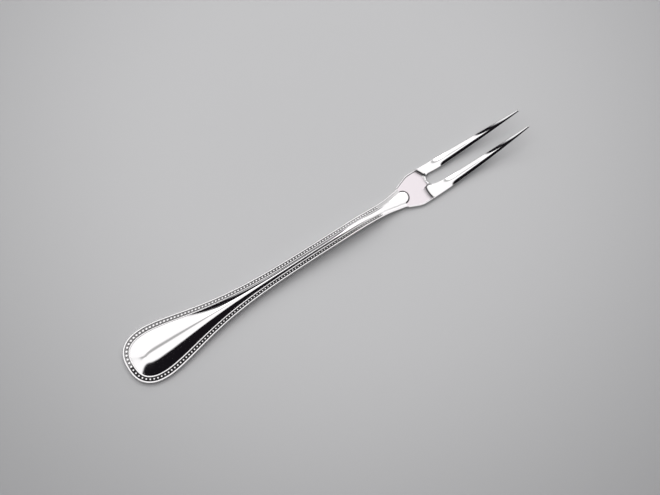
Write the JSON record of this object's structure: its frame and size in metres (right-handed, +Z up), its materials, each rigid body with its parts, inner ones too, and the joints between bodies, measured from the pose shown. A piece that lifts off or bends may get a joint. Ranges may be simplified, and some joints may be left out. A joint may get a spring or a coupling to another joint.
{
  "type": "meat fork",
  "caption": "Slim serving fork with pointed tines, a sunk palm with a round-ended tongue, and a teardrop handle with a crowned panel and a bead border.",
  "frame": {"origin": "on the table, under the middle of the fork's length and width", "axes": "+X along the fork towards the points of the tines, +Y to the left, +Z up from the table"},
  "size_m": [0.165, 0.0198, 0.0117],
  "materials": {
    "polished_silver": "polished"
  },
  "bodies": {
    "root": {"handle": "polished_silver", "outer_rim": "polished_silver", "bead_border": "polished_silver", "inner_fillet": "polished_silver", "palm": "polished_silver", "left_tine": "polished_silver", "right_tine": "polished_silver"}
  },
  "joints": []
}
